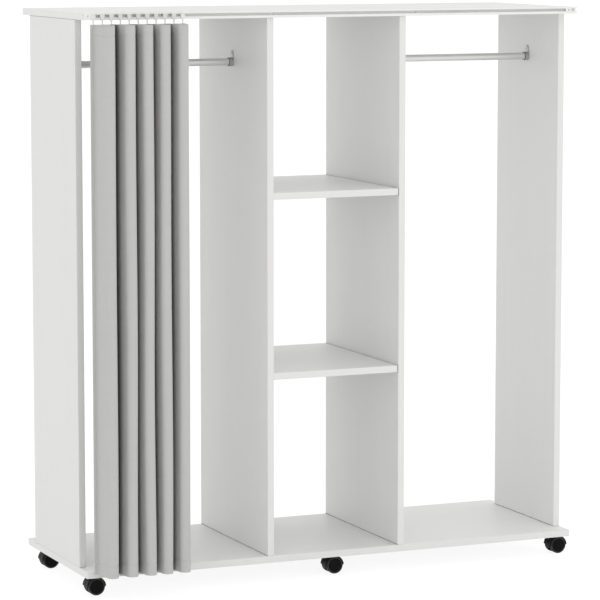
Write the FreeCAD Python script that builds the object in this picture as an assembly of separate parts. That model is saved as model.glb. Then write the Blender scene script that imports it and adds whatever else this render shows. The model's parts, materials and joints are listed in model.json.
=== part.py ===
import FreeCAD, Part
import math
import os

# An open wardrobe of white boards on twin-wheel casters. Two hanging bays stand beside a middle bay with
# two shelves, and a curtain hangs from gliders in a track along the front edge of the top board.
# X runs along the width, Y from front to back, Z up from the floor. Millimetres.

# Boards
BOARD = 15.0  # thickness of every board
DEPTH = 400.0  # top, base, dividers and shelves, front to back
SIDE_INSET = 50.0  # side panels stand back this far from the front and back edges
BAY_WIDTH = 405.0  # clear width of each hanging bay
SHELF_WIDTH = 300.0  # clear width between the dividers
PANEL_HEIGHT = 1180.0  # clear height between base and top
LOWER_SPACE = 391.0  # clear height under the lower shelf
MIDDLE_SPACE = 380.0  # clear height between the shelves
EDGE_BREAK = 0.6  # chamfer on the edges of the boards

# Hidden joints of the boards
DOWEL_RADIUS = 4.0
DOWEL_IN_FACE = 10.0  # depth in the face of a board
DOWEL_IN_END = 20.0  # depth in the end of the board that meets that face
DOWEL_SETBACK = 40.0  # dowel to the nearest front or back edge
SCREW_SETBACK = 80.0  # assembly screw or cam to the nearest front or back edge
SCREW_HEAD_RADIUS = 5.0
SCREW_HEAD = 3.0
SCREW_SHANK_RADIUS = 3.5
SCREW_THREAD_RADIUS = 2.5
SCREW_GRIP = 35.0  # thread in the end of the panel
CAP = 1.5  # the screw heads are sunk this deep, and capped flush on the top board
CAM_RADIUS = 7.5
CAM_HEIGHT = 12.0
CAM_SETBACK = 34.0  # cam centre to the end of the shelf
CAM_BOLT_RADIUS = 3.0
CAM_BOLT_IN_FACE = 10.0
CAM_BITE = 2.0  # the bolt reaches this far past the rim of its cam

# Hanging rails and their brackets
RAIL_RADIUS = 8.0
RAIL_WALL = 1.2
RAIL_DROP = 103.0  # rail axis below the top board
RAIL_PLAY = 0.15  # rail to socket
RAIL_END_GAP = 0.5  # rail end to bracket plate
SOCKET_WALL = 1.6
SOCKET_LENGTH = 10.0
BRACKET_PLATE = 2.0
TAB_RISE = 20.0  # tab screw above the rail axis
TAB_RADIUS = 5.5
SMALL_HEAD_RADIUS = 3.2
SMALL_HEAD = 1.6
SMALL_SHANK_RADIUS = 1.75
SMALL_GRIP = 11.0  # length of a small screw in the board

# Curtain track, as tall as the top board is thick
TRACK_DEPTH = 9.0
TRACK_WALL = 1.5
UPPER_LIP = 3.5
LOWER_LIP = 5.5
TRACK_SCREWS = (14.0, 37.0)  # from the left face of each divider
TRACK_SCREW_GRIP = 16.0
STOP_LENGTH = 14.0
LEFT_STOP_INSET = 2.0
RIGHT_STOP_INSET = 14.0
STOP_GAP = 0.2  # stop to the first glider

# Gliders
GLIDERS = 11
GLIDER_PITCH = 20.1
GLIDER_LENGTH = 9.0
GLIDER_PLAY = 0.3  # glider to track all round
GLIDER_PLATE = 2.0  # thickness of the front plate and stem
STEM_WIDTH = 2.4
STEM_FLARE = 3.0  # below the track, where the plate has narrowed to the stem
PEG_RADIUS = 1.2
EYELET_RADIUS = 1.6

# Curtain and heading tape
CLOTH = 1.2
FOLD_DEPTH = 57.0  # valley to crest, at the middle of the cloth
CREST_RADIUS = 11.5
VALLEY_RADIUS = 3.0
CLOTH_TAIL = 6.0  # flat ends of the cloth beyond the first and last valley
CURTAIN_GAP = 9.0  # top board to the top of the cloth
HEM_HEIGHT = 11.0  # hem above the underside of the base
TAPE = 1.0
TAPE_HEIGHT = 25.0
TAPE_PLAY = 0.3  # tape to the glider stems
SEW_GAP = 0.1  # tape to the valleys of the cloth
EYELET_DROP = 4.0  # eyelet centre below the top of the tape

# Casters
WHEEL_RADIUS = 19.0
WHEEL_WIDTH = 9.5
WHEEL_ROUND = 1.2  # rounded rim of the tread
RING_RADIUS = 16.8  # groove in the outer face of the wheel
RING_WIDTH = 1.0
RING_DEPTH = 0.6
WHEEL_FACE = 2.0  # wall between the axle end and the outer face
WHEEL_GAP = 0.5  # wheel to the web of the hood
AXLE_RADIUS = 2.5
AXLE_END_GAP = 0.5
RUNNING_FIT = 0.05  # radial play of the turning joints
HOOD_GAP = 0.8  # tread to hood
HOOD_WALL = 1.7
HOOD_SETBACK = 1.0  # hood edge behind the outer faces of the wheels
WEB_WIDTH = 13.0
WEB_DROP = 8.0  # web below the axle
TRAIL = 11.0  # axle to swivel stem
STEM_RADIUS = 4.0
STEM_LENGTH = 16.0  # inside the hood
STEM_HEAD_RADIUS = 6.0  # the stem hangs by its head in a recess of the plate
STEM_HEAD = 0.9
STEM_HEAD_PLAY = 0.1  # above and below the head
COLLAR_RADIUS = 7.0
COLLAR = 2.0
SWIVEL_GAP = 0.4  # collar to hood
HEADROOM = 2.5  # hood to plate, for the screw heads
PLATE = 2.0
PLATE_SIDE = 36.0
PLATE_ROUND = 4.0
PLATE_HOLES = 26.0  # spacing of the four plate screws
CASTER_INSET_X = 22.0  # swivel stem to the end of the base
CASTER_INSET_Y = 48.0  # swivel stem to the front or back edge of the base

# Places that follow from the sizes above
CASTER_HEIGHT = 2 * WHEEL_RADIUS + HOOD_GAP + HOOD_WALL + HEADROOM + PLATE
WIDTH = 4 * BOARD + 2 * BAY_WIDTH + SHELF_WIDTH
X_LEFT = -WIDTH / 2
X_RIGHT = WIDTH / 2
CLOTH_STAND = TRACK_DEPTH + GLIDER_PLAY + GLIDER_PLATE + TAPE_PLAY + TAPE + SEW_GAP
CURTAIN_REACH = CLOTH_STAND + FOLD_DEPTH + CLOTH
Y_MID = CURTAIN_REACH / 2
Y_FRONT = Y_MID - DEPTH / 2
Y_BACK = Y_MID + DEPTH / 2
Z_BASE = CASTER_HEIGHT
Z_FEET = Z_BASE + BOARD
Z_TOP = Z_FEET + PANEL_HEIGHT
Z_ROOF = Z_TOP + BOARD
Z_SHELVES = (Z_FEET + LOWER_SPACE, Z_FEET + LOWER_SPACE + BOARD + MIDDLE_SPACE)
Z_RAIL = Z_TOP - RAIL_DROP
Y_TRACK = Y_FRONT - TRACK_DEPTH
Z_SLOT_LOW = Z_TOP + LOWER_LIP
Z_SLOT_HIGH = Z_ROOF - UPPER_LIP
Z_SLOT = (Z_SLOT_LOW + Z_SLOT_HIGH) / 2
X_FIRST_GLIDER = X_LEFT + LEFT_STOP_INSET + STOP_LENGTH + STOP_GAP + GLIDER_LENGTH / 2
X_GLIDERS = [X_FIRST_GLIDER + k * GLIDER_PITCH for k in range(GLIDERS)]
Y_PLATE = Y_TRACK - GLIDER_PLAY - GLIDER_PLATE
Y_TAPE = Y_PLATE - TAPE_PLAY - TAPE
Z_CLOTH_TOP = Z_TOP - CURTAIN_GAP
Z_CLOTH_HEM = Z_BASE + HEM_HEIGHT
Z_EYELETS = Z_CLOTH_TOP - EYELET_DROP
Z_AXLE = WHEEL_RADIUS
HOOD_INNER = WHEEL_RADIUS + HOOD_GAP
HOOD_OUTER = HOOD_INNER + HOOD_WALL
Z_PLATE = Z_BASE - PLATE
Z_BOSS = Z_PLATE - COLLAR - SWIVEL_GAP
WHEEL_INNER = WEB_WIDTH / 2 + WHEEL_GAP
WHEEL_OUTER = WHEEL_INNER + WHEEL_WIDTH

X_AXIS = FreeCAD.Vector(1, 0, 0)
Y_AXIS = FreeCAD.Vector(0, 1, 0)
Z_AXIS = FreeCAD.Vector(0, 0, 1)


def point(x, y, z):
    return FreeCAD.Vector(x, y, z)


def block(low, high):
    """Box between two opposite corners."""
    return Part.makeBox(high[0] - low[0], high[1] - low[1], high[2] - low[2], point(*low))


def turned(profile, origin, axis, across):
    """Solid of revolution of (radius, distance along axis) points about an axis through origin."""
    corners = [origin + across * radius + axis * along for radius, along in profile]
    face = Part.Face(Part.makePolygon(corners + corners[:1]))
    return face.revolve(origin, axis, 360)


def prism(corners, travel):
    """Polygon carried along a straight line."""
    return Part.Face(Part.makePolygon(corners + corners[:1])).extrude(travel)


def seated(solid, *fasteners):
    """Solid with a hole for each fastener that goes into it."""
    return solid.cut(Part.makeCompound([piece for group in fasteners for piece in group]))


def board(low, high):
    """Board with its edges broken."""
    plain = block(low, high)
    return plain.makeChamfer(EDGE_BREAK, plain.Edges)


# Upright panels: name, left face, front edge, back edge
def panels():
    inset_front = Y_FRONT + SIDE_INSET
    inset_back = Y_BACK - SIDE_INSET
    x_divider = X_LEFT + BOARD + BAY_WIDTH
    return [
        ("side_panel_left", X_LEFT, inset_front, inset_back),
        ("divider_left", x_divider, Y_FRONT, Y_BACK),
        ("divider_right", x_divider + BOARD + SHELF_WIDTH, Y_FRONT, Y_BACK),
        ("side_panel_right", X_RIGHT - BOARD, inset_front, inset_back),
    ]


def panel_ends():
    """Middle of both ends of each panel, with the way from the end into the panel, and its edges."""
    for _, x, front, back in panels():
        yield x + BOARD / 2, Z_FEET, 1, front, back
        yield x + BOARD / 2, Z_TOP, -1, front, back


def shelf_ends():
    """Middle of both ends of each shelf, with the way from the end into the shelf."""
    for z in Z_SHELVES:
        yield -SHELF_WIDTH / 2, z + BOARD / 2, 1
        yield SHELF_WIDTH / 2, z + BOARD / 2, -1


def dowels():
    length = DOWEL_IN_FACE + DOWEL_IN_END
    pieces = []
    for x, z, way, front, back in panel_ends():
        for y in (front + DOWEL_SETBACK, back - DOWEL_SETBACK):
            start = point(x, y, z - way * DOWEL_IN_FACE)
            pieces.append(Part.makeCylinder(DOWEL_RADIUS, length, start, Z_AXIS * way))
    for x, z, way in shelf_ends():
        for y in (Y_FRONT + DOWEL_SETBACK, Y_BACK - DOWEL_SETBACK):
            start = point(x - way * DOWEL_IN_FACE, y, z)
            pieces.append(Part.makeCylinder(DOWEL_RADIUS, length, start, X_AXIS * way))
    return pieces


def assembly_screw_places():
    """Outer face of the base or top over each assembly screw, with the way the screw points."""
    for x, z, way, front, back in panel_ends():
        for y in (front + SCREW_SETBACK, back - SCREW_SETBACK):
            yield point(x, y, z - way * BOARD), way


def assembly_screws():
    profile = [
        (0, CAP),
        (SCREW_HEAD_RADIUS, CAP),
        (SCREW_HEAD_RADIUS, CAP + SCREW_HEAD),
        (SCREW_SHANK_RADIUS, CAP + SCREW_HEAD),
        (SCREW_SHANK_RADIUS, BOARD),
        (SCREW_THREAD_RADIUS, BOARD),
        (SCREW_THREAD_RADIUS, BOARD + SCREW_GRIP),
        (0, BOARD + SCREW_GRIP),
    ]
    return [turned(profile, face, Z_AXIS * way, X_AXIS) for face, way in assembly_screw_places()]


def screw_sinks():
    """Round recesses over the screw heads in the base and top."""
    return [
        Part.makeCylinder(SCREW_HEAD_RADIUS, CAP, face, Z_AXIS * way)
        for face, way in assembly_screw_places()
    ]


def screw_caps():
    """Caps that fill the recesses of the top board."""
    return [sink for sink in screw_sinks() if sink.CenterOfMass.z > Z_TOP]


def shelf_cams():
    pieces = []
    for x, z, way in shelf_ends():
        for y in (Y_FRONT + SCREW_SETBACK, Y_BACK - SCREW_SETBACK):
            start = point(x + way * CAM_SETBACK, y, z - BOARD / 2)
            pieces.append(Part.makeCylinder(CAM_RADIUS, CAM_HEIGHT, start, Z_AXIS))
    return pieces


def cam_bolts(cams):
    """Bolts from the dividers that end in the rims of the cams."""
    length = CAM_BOLT_IN_FACE + CAM_SETBACK - CAM_RADIUS + CAM_BITE
    pieces = []
    for x, z, way in shelf_ends():
        for y in (Y_FRONT + SCREW_SETBACK, Y_BACK - SCREW_SETBACK):
            start = point(x - way * CAM_BOLT_IN_FACE, y, z)
            bolt = Part.makeCylinder(CAM_BOLT_RADIUS, length, start, X_AXIS * way)
            pieces.append(bolt.cut(Part.makeCompound(cams)).Solids[0])
    return pieces


def small_screw(seat, way):
    """Pan-head screw whose head rests on the seat and whose shank points along way."""
    across = Y_AXIS if abs(way.y) < abs(way.x) + abs(way.z) else X_AXIS
    profile = [
        (0, -SMALL_HEAD),
        (SMALL_HEAD_RADIUS - SMALL_HEAD / 2, -SMALL_HEAD),
        (SMALL_HEAD_RADIUS, 0),
        (SMALL_SHANK_RADIUS, 0),
        (SMALL_SHANK_RADIUS, BRACKET_PLATE + SMALL_GRIP),
        (0, BRACKET_PLATE + SMALL_GRIP),
    ]
    return turned(profile, seat, way, across)


# Hanging rails: the inner faces that carry each rail
def rail_bays():
    x_divider = X_LEFT + BOARD + BAY_WIDTH
    return {
        "left": (X_LEFT + BOARD, x_divider),
        "right": (-x_divider, X_RIGHT - BOARD),
    }


def hanging_rail(x_from, x_to):
    gap = BRACKET_PLATE + RAIL_END_GAP
    start = point(x_from + gap, Y_MID, Z_RAIL)
    length = x_to - x_from - 2 * gap
    tube = Part.makeCylinder(RAIL_RADIUS, length, start, X_AXIS)
    return tube.cut(Part.makeCylinder(RAIL_RADIUS - RAIL_WALL, length, start, X_AXIS))


def bracket_screws_at(x_face, way):
    """A screw in the tab and one inside the socket, both into the board."""
    seat_x = x_face + way * BRACKET_PLATE
    return [small_screw(point(seat_x, Y_MID, z), X_AXIS * -way) for z in (Z_RAIL + TAB_RISE, Z_RAIL)]


def rail_bracket(x_face, way):
    """Drop-shaped plate against the board, with a round socket for the rail end."""
    bore = RAIL_RADIUS + RAIL_PLAY
    outer = bore + SOCKET_WALL
    lean = math.asin((outer - TAB_RADIUS) / TAB_RISE)
    sides = math.cos(lean)
    rise = math.sin(lean)

    def on_plate(y, z):
        return point(x_face, Y_MID + y, Z_RAIL + z)

    foot_left = on_plate(-outer * sides, outer * rise)
    foot_right = on_plate(outer * sides, outer * rise)
    tab_left = on_plate(-TAB_RADIUS * sides, TAB_RISE + TAB_RADIUS * rise)
    tab_right = on_plate(TAB_RADIUS * sides, TAB_RISE + TAB_RADIUS * rise)
    outline = Part.Wire([
        Part.Arc(foot_right, on_plate(0, -outer), foot_left).toShape(),
        Part.LineSegment(foot_left, tab_left).toShape(),
        Part.Arc(tab_left, on_plate(0, TAB_RISE + TAB_RADIUS), tab_right).toShape(),
        Part.LineSegment(tab_right, foot_right).toShape(),
    ])
    plate = Part.Face(outline).extrude(X_AXIS * way * BRACKET_PLATE)
    socket = Part.makeCylinder(outer, SOCKET_LENGTH, on_plate(0, 0), X_AXIS * way)
    hollow_start = on_plate(0, 0) + X_AXIS * way * BRACKET_PLATE
    hollow = Part.makeCylinder(bore, SOCKET_LENGTH, hollow_start, X_AXIS * way)
    return seated(plate.fuse(socket).cut(hollow).removeSplitter(), bracket_screws_at(x_face, way))


# Curtain track along the front edge of the top board
def track_screw(x):
    """Countersunk screw, flush with the inside of the back wall of the track."""
    profile = [
        (0, 0),
        (SMALL_HEAD_RADIUS, 0),
        (SMALL_SHANK_RADIUS, TRACK_WALL),
        (SMALL_SHANK_RADIUS, TRACK_WALL + TRACK_SCREW_GRIP),
        (0, TRACK_WALL + TRACK_SCREW_GRIP),
    ]
    return turned(profile, point(x, Y_FRONT - TRACK_WALL, Z_SLOT), Y_AXIS, X_AXIS)


def stop_screw(x):
    """Screw through an end stop and the track, with its head on the front of the stop."""
    profile = [
        (0, 0),
        (SMALL_HEAD_RADIUS - SMALL_HEAD / 2, 0),
        (SMALL_SHANK_RADIUS, SMALL_HEAD),
        (SMALL_SHANK_RADIUS, TRACK_DEPTH + TRACK_SCREW_GRIP),
        (0, TRACK_DEPTH + TRACK_SCREW_GRIP),
    ]
    return turned(profile, point(x, Y_TRACK, Z_SLOT), Y_AXIS, X_AXIS)


def stop_spans():
    left = X_LEFT + LEFT_STOP_INSET
    right = X_RIGHT - RIGHT_STOP_INSET
    return [(left, left + STOP_LENGTH), (right - STOP_LENGTH, right)]


def track_screws():
    dividers = [x for name, x, _, _ in panels() if name.startswith("divider")]
    between = [track_screw(x + offset) for x, offset in zip(dividers, TRACK_SCREWS)]
    at_stops = [stop_screw((low + high) / 2) for low, high in stop_spans()]
    return between + at_stops


def curtain_track():
    """C-shaped channel, open to the front between its lips."""
    y_back = Y_FRONT - TRACK_WALL
    y_lip = Y_TRACK + TRACK_WALL
    section = [
        (Y_FRONT, Z_TOP),
        (Y_FRONT, Z_ROOF),
        (Y_TRACK, Z_ROOF),
        (Y_TRACK, Z_SLOT_HIGH),
        (y_lip, Z_SLOT_HIGH),
        (y_lip, Z_ROOF - TRACK_WALL),
        (y_back, Z_ROOF - TRACK_WALL),
        (y_back, Z_TOP + TRACK_WALL),
        (y_lip, Z_TOP + TRACK_WALL),
        (y_lip, Z_SLOT_LOW),
        (Y_TRACK, Z_SLOT_LOW),
        (Y_TRACK, Z_TOP),
    ]
    return prism([point(X_LEFT, y, z) for y, z in section], X_AXIS * WIDTH)


def end_stop(low, high):
    """Plug that fills the channel and its slot."""
    y_lip = Y_TRACK + TRACK_WALL
    core = block((low, y_lip, Z_TOP + TRACK_WALL), (high, Y_FRONT - TRACK_WALL, Z_ROOF - TRACK_WALL))
    face = block((low, Y_TRACK, Z_SLOT_LOW), (high, y_lip, Z_SLOT_HIGH))
    return core.fuse(face).removeSplitter()


def glider(x):
    """Slider in the channel, a neck through the slot and a front plate that narrows to a stem with a peg."""
    half = GLIDER_LENGTH / 2
    y_head = Y_TRACK + TRACK_WALL + GLIDER_PLAY
    head = block(
        (x - half, y_head, Z_TOP + TRACK_WALL + GLIDER_PLAY),
        (x + half, Y_FRONT - TRACK_WALL - GLIDER_PLAY, Z_ROOF - TRACK_WALL - GLIDER_PLAY),
    )
    z_neck_low = Z_SLOT_LOW + GLIDER_PLAY
    z_neck_high = Z_SLOT_HIGH - GLIDER_PLAY
    neck = block((x - half, Y_PLATE, z_neck_low), (x + half, y_head, z_neck_high))
    stem = STEM_WIDTH / 2
    z_tip = Z_EYELETS - EYELET_RADIUS
    outline = [
        (-half, z_neck_high),
        (half, z_neck_high),
        (half, z_neck_low),
        (stem, Z_TOP - STEM_FLARE),
        (stem, z_tip),
        (-stem, z_tip),
        (-stem, Z_TOP - STEM_FLARE),
        (-half, z_neck_low),
    ]
    front = prism([point(x + dx, Y_PLATE, z) for dx, z in outline], Y_AXIS * GLIDER_PLATE)
    peg = Part.makeCylinder(PEG_RADIUS, TAPE_PLAY + TAPE, point(x, Y_PLATE, Z_EYELETS), -Y_AXIS)
    return head.fuse([neck, front, peg]).removeSplitter()


def heading_tape():
    """Gathering tape behind the cloth, with an eyelet for the peg of each glider."""
    strip = block(
        (X_GLIDERS[0] - CLOTH_TAIL, Y_TAPE, Z_CLOTH_TOP - TAPE_HEIGHT),
        (X_GLIDERS[-1] + CLOTH_TAIL, Y_TAPE + TAPE, Z_CLOTH_TOP),
    )
    eyelets = [Part.makeCylinder(EYELET_RADIUS, TAPE, point(x, Y_TAPE, Z_EYELETS), Y_AXIS) for x in X_GLIDERS]
    return seated(strip, eyelets)


def fold_line(shift):
    """Edges along the folded cloth, shift to the rear of its middle, from the left end to the right end.

    Tight valleys lie at the even gliders and wide crests at the odd ones. Each is an arc about its own
    centre, and straight flanks touch both arcs.
    """
    y_valley = Y_TAPE - SEW_GAP - CLOTH / 2
    radii = VALLEY_RADIUS + CREST_RADIUS
    span = FOLD_DEPTH - radii
    reach = math.hypot(GLIDER_PITCH, span)
    lean = math.atan2(-span, GLIDER_PITCH) + math.acos(radii / reach)

    def on_fold(k, angle):
        if k % 2 == 0:
            centre_y = y_valley - VALLEY_RADIUS
            radius = VALLEY_RADIUS + shift
        else:
            centre_y = y_valley - FOLD_DEPTH + CREST_RADIUS
            radius = CREST_RADIUS - shift
        return point(X_GLIDERS[k] + radius * math.cos(angle), centre_y + radius * math.sin(angle), Z_CLOTH_HEM)

    top = math.pi / 2
    edges = []
    end = on_fold(0, top) - X_AXIS * CLOTH_TAIL
    for k in range(GLIDERS):
        way = 1 if k % 2 == 0 else -1
        first = way * (math.pi - lean)
        last = way * lean
        if k == 0:
            first = top
        if k == GLIDERS - 1:
            last = top
        start = on_fold(k, first)
        edges.append(Part.LineSegment(end, start).toShape())
        end = on_fold(k, last)
        edges.append(Part.Arc(start, on_fold(k, (first + last) / 2), end).toShape())
    edges.append(Part.LineSegment(end, end + X_AXIS * CLOTH_TAIL).toShape())
    return edges


def curtain():
    """Cloth hanging in waves, one wall thick."""
    rear = fold_line(CLOTH / 2)
    front = fold_line(-CLOTH / 2)

    def closing(index):
        end = 1 if index else 0
        return Part.LineSegment(rear[index].Vertexes[end].Point, front[index].Vertexes[end].Point).toShape()

    outline = Part.Wire(rear + [closing(-1)] + front[::-1] + [closing(0)])
    return Part.Face(outline).extrude(Z_AXIS * (Z_CLOTH_TOP - Z_CLOTH_HEM))


# Casters: name and swivel stem
def caster_places():
    columns = {"left": X_LEFT + CASTER_INSET_X, "middle": 0.0, "right": X_RIGHT - CASTER_INSET_X}
    rows = {"front": Y_FRONT + CASTER_INSET_Y, "rear": Y_BACK - CASTER_INSET_Y}
    return {f"{row}_{column}": (x, y) for row, y in rows.items() for column, x in columns.items()}


def plate_screws_at(x, y):
    half = PLATE_HOLES / 2
    corners = [(-half, -half), (half, -half), (half, half), (-half, half)]
    return [small_screw(point(x + dx, y + dy, Z_PLATE), Z_AXIS) for dx, dy in corners]


def caster_plate(x, y):
    """Rounded square plate under the base, with the collar that the stem turns in."""
    half = PLATE_SIDE / 2
    square = block((x - half, y - half, Z_PLATE), (x + half, y + half, Z_BASE))
    uprights = [edge for edge in square.Edges if abs(edge.tangentAt(edge.FirstParameter).z) > 0.5]
    rounded = square.makeFillet(PLATE_ROUND, uprights)
    collar = Part.makeCylinder(COLLAR_RADIUS, COLLAR, point(x, y, Z_PLATE), -Z_AXIS)
    bore = Part.makeCylinder(STEM_RADIUS + RUNNING_FIT, PLATE + COLLAR, point(x, y, Z_BASE), -Z_AXIS)
    recess_depth = STEM_HEAD + 2 * STEM_HEAD_PLAY
    recess = Part.makeCylinder(STEM_HEAD_RADIUS + STEM_HEAD_PLAY, recess_depth, point(x, y, Z_BASE), -Z_AXIS)
    return seated(rounded.fuse(collar).removeSplitter(), plate_screws_at(x, y), [bore, recess])


def caster_stem(x, y):
    """Headed pin that hangs in the plate and is pressed into the boss of the hood."""
    z_head = Z_BASE - STEM_HEAD_PLAY
    profile = [
        (0, z_head),
        (STEM_HEAD_RADIUS, z_head),
        (STEM_HEAD_RADIUS, z_head - STEM_HEAD),
        (STEM_RADIUS, z_head - STEM_HEAD),
        (STEM_RADIUS, Z_BOSS - STEM_LENGTH),
        (0, Z_BOSS - STEM_LENGTH),
    ]
    return turned(profile, point(x, y, 0), Z_AXIS, X_AXIS)


def caster_hood(x, y):
    """Half-round fender over both wheels, carried by a web between them with a boss for the stem."""
    x_axle = x + TRAIL
    half_width = WHEEL_OUTER - HOOD_SETBACK
    half_web = WEB_WIDTH / 2

    def across(radius, half):
        return Part.makeCylinder(radius, 2 * half, point(x_axle, y - half, Z_AXLE), Y_AXIS)

    def above(z):
        low = (x_axle - HOOD_OUTER, y - half_width, z)
        return block(low, (x_axle + HOOD_OUTER, y + half_width, Z_AXLE + HOOD_OUTER))

    fender = across(HOOD_OUTER, half_width).cut(across(HOOD_INNER, half_width)).common(above(Z_AXLE))
    web = across(HOOD_INNER, half_web).common(above(Z_AXLE - WEB_DROP))
    boss = Part.makeCylinder(half_web, Z_BOSS - Z_AXLE, point(x, y, Z_AXLE), Z_AXIS)
    solid = fender.fuse([web, boss]).removeSplitter()
    return seated(solid, [caster_stem(x, y), caster_axle(x, y)])


def caster_axle(x, y):
    half = WHEEL_OUTER - WHEEL_FACE - AXLE_END_GAP
    return Part.makeCylinder(AXLE_RADIUS, 2 * half, point(x + TRAIL, y - half, Z_AXLE), Y_AXIS)


def caster_wheel(x, y, way):
    """Wheel with a blind bore, a rounded tread and a ring groove in its outer face."""
    bore = AXLE_RADIUS + RUNNING_FIT
    groove = RING_RADIUS - RING_WIDTH
    profile = [
        (bore, WHEEL_INNER),
        (WHEEL_RADIUS - WHEEL_ROUND, WHEEL_INNER),
        (WHEEL_RADIUS, WHEEL_INNER + WHEEL_ROUND),
        (WHEEL_RADIUS, WHEEL_OUTER - WHEEL_ROUND),
        (WHEEL_RADIUS - WHEEL_ROUND, WHEEL_OUTER),
        (RING_RADIUS, WHEEL_OUTER),
        (RING_RADIUS, WHEEL_OUTER - RING_DEPTH),
        (groove, WHEEL_OUTER - RING_DEPTH),
        (groove, WHEEL_OUTER),
        (0, WHEEL_OUTER),
        (0, WHEEL_OUTER - WHEEL_FACE),
        (bore, WHEEL_OUTER - WHEEL_FACE),
    ]
    return turned(profile, point(x + TRAIL, y, Z_AXLE), Y_AXIS * way, X_AXIS)


def save(name, shape):
    if isinstance(shape, list):
        shape = Part.makeCompound(shape)
    shape.exportStep(f"parts/{name}.step")


def save_boards(pins, screws, sinks, cams, bolts, rail_screws, wheel_screws, front_screws):
    """Boards, each with the holes of the fasteners in it."""
    ends = {"top_board": (Z_TOP, front_screws), "base_board": (Z_BASE, wheel_screws)}
    for name, (z, others) in ends.items():
        plain = board((X_LEFT, Y_FRONT, z), (X_RIGHT, Y_BACK, z + BOARD))
        save(name, seated(plain, pins, screws, sinks, others))
    for name, x, front, back in panels():
        plain = board((x, front, Z_FEET), (x + BOARD, back, Z_TOP))
        save(name, seated(plain, pins, screws, bolts, rail_screws))
    for name, z in zip(("shelf_lower", "shelf_upper"), Z_SHELVES):
        plain = board((-SHELF_WIDTH / 2, Y_FRONT, z), (SHELF_WIDTH / 2, Y_BACK, z + BOARD))
        save(name, seated(plain, pins, cams, bolts))


def main():
    os.makedirs("parts", exist_ok=True)
    pins = dowels()
    screws = assembly_screws()
    cams = shelf_cams()
    bolts = cam_bolts(cams)
    front_screws = track_screws()
    wheel_screws = [screw for place in caster_places().values() for screw in plate_screws_at(*place)]
    rail_screws = []
    for bay, (x_from, x_to) in rail_bays().items():
        save(f"hanging_rail_{bay}", hanging_rail(x_from, x_to))
        save(f"rail_brackets_{bay}", [rail_bracket(x_from, 1), rail_bracket(x_to, -1)])
        rail_screws += bracket_screws_at(x_from, 1) + bracket_screws_at(x_to, -1)
    save_boards(pins, screws, screw_sinks(), cams, bolts, rail_screws, wheel_screws, front_screws)
    save("dowels", pins)
    save("assembly_screws", screws)
    save("screw_caps", screw_caps())
    save("shelf_cams", cams)
    save("cam_bolts", bolts)
    save("bracket_screws", rail_screws)
    save("caster_screws", wheel_screws)
    save("track_screws", front_screws)
    save("curtain_track", seated(curtain_track(), front_screws))
    save("track_end_stops", [seated(end_stop(*span), front_screws) for span in stop_spans()])
    for k, x in enumerate(X_GLIDERS):
        save(f"glider_{k + 1:02d}", glider(x))
    save("curtain", curtain())
    save("heading_tape", heading_tape())
    save("caster_plates", [caster_plate(*place) for place in caster_places().values()])
    for name, place in caster_places().items():
        save(f"caster_hood_{name}", caster_hood(*place))
        save(f"caster_axle_{name}", [caster_axle(*place), caster_stem(*place)])
        save(f"wheel_{name}_near", caster_wheel(*place, -1))
        save(f"wheel_{name}_far", caster_wheel(*place, 1))


main()
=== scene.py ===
"""Rolling wardrobe: white boards on twin-wheel casters, two hanging rails and a grey curtain on a track."""
import json
import math

import bpy
import numpy as np
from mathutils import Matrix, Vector


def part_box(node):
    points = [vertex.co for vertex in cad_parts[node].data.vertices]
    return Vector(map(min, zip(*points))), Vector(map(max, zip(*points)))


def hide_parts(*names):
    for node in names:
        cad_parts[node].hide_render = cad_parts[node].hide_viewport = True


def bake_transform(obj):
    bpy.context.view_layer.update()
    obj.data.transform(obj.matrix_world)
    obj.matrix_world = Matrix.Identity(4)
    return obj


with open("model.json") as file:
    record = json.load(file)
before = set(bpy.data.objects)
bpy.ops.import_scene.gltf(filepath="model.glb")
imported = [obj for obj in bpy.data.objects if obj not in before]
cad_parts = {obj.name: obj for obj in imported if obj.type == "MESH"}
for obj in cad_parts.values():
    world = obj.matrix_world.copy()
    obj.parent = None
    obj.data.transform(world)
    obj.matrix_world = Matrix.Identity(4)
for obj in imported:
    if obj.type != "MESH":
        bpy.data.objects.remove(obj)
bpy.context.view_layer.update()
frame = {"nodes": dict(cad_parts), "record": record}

NODES = frame["nodes"]
GLIDER_NAMES = sorted(name for name in NODES if name.startswith("glider_"))
LEAD_GLIDER = GLIDER_NAMES[-1]


def middle(node):
    """Centre of a node's box."""
    low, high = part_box(node)
    return (low + high) / 2


# Sizes taken from the frame, in metres
CLOTH_LOW, CLOTH_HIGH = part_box("curtain")
TAPE_LOW, TAPE_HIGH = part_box("heading_tape")
X_FIRST = middle(GLIDER_NAMES[0]).x
X_LAST = middle(LEAD_GLIDER).x

# The cloth
FOLDS = 5
CLOTH = 0.0011  # thickness
CREST_RADIUS = 0.0115
VALLEY_RADIUS = 0.003
CREST_SHIFT = (-0.0026, 0.0029, 0.0031, 0.0013, 0.0019)  # how far right of its even place each crest hangs
EDGE_SHIFT = (-0.0022, 0.0)  # the same for the left and right edge
SWAY = 0.0013  # how far the folds sway sideways down the drop
UNEVEN_DEPTH = 0.02  # share by which some folds are shallower than others
LOST_DEPTH = 0.03  # share by which folds get shallower down the drop

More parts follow.
